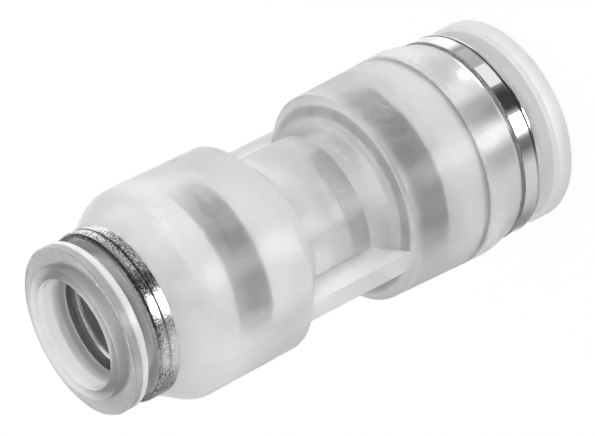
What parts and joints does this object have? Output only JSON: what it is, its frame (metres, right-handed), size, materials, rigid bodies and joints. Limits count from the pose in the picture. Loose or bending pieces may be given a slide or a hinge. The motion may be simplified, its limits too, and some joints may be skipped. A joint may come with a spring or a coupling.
{
  "type": "push-in tube fitting",
  "caption": "Straight reducing push-in fitting: a milky plastic housing with steel collars and clear release rings joins a larger tube to a smaller one.",
  "frame": {"origin": "on the axis, in the plane of the flat around the mouth of the large release ring, which it stands on", "axes": "+Z along the axis from the large end to the small end; the two ribs lie in the XZ plane"},
  "size_m": [0.0172, 0.0172, 0.0413],
  "materials": {
    "milky_plastic": "milky translucent moulding, light gloss",
    "clear_plastic": "clear, glossy",
    "steel": "polished stainless",
    "spring_steel": "bright spring sheet",
    "white_plastic": "satin",
    "rubber": "matt black"
  },
  "bodies": {
    "fitting": {"housing": "milky_plastic", "large_collar": "steel", "large_grip_ring": "spring_steel", "large_support_ring": "white_plastic", "large_seal": "rubber", "small_collar": "steel", "small_grip_ring": "spring_steel", "small_support_ring": "white_plastic", "small_seal": "rubber"},
    "large_release": {"large_release_ring": "clear_plastic"},
    "small_release": {"small_release_ring": "clear_plastic"}
  },
  "joints": [
    {"name": "large_release_press", "type": "slide", "parent": "fitting", "child": "large_release", "axis": [0, 0, 1], "range_m": [0, 0.0014], "stiffness_N_per_m": 50, "springref_m": -0.0018},
    {"name": "small_release_press", "type": "slide", "parent": "fitting", "child": "small_release", "axis": [0, 0, -1], "range_m": [0, 0.00062], "stiffness_N_per_m": 50, "springref_m": -0.0003}
  ]
}
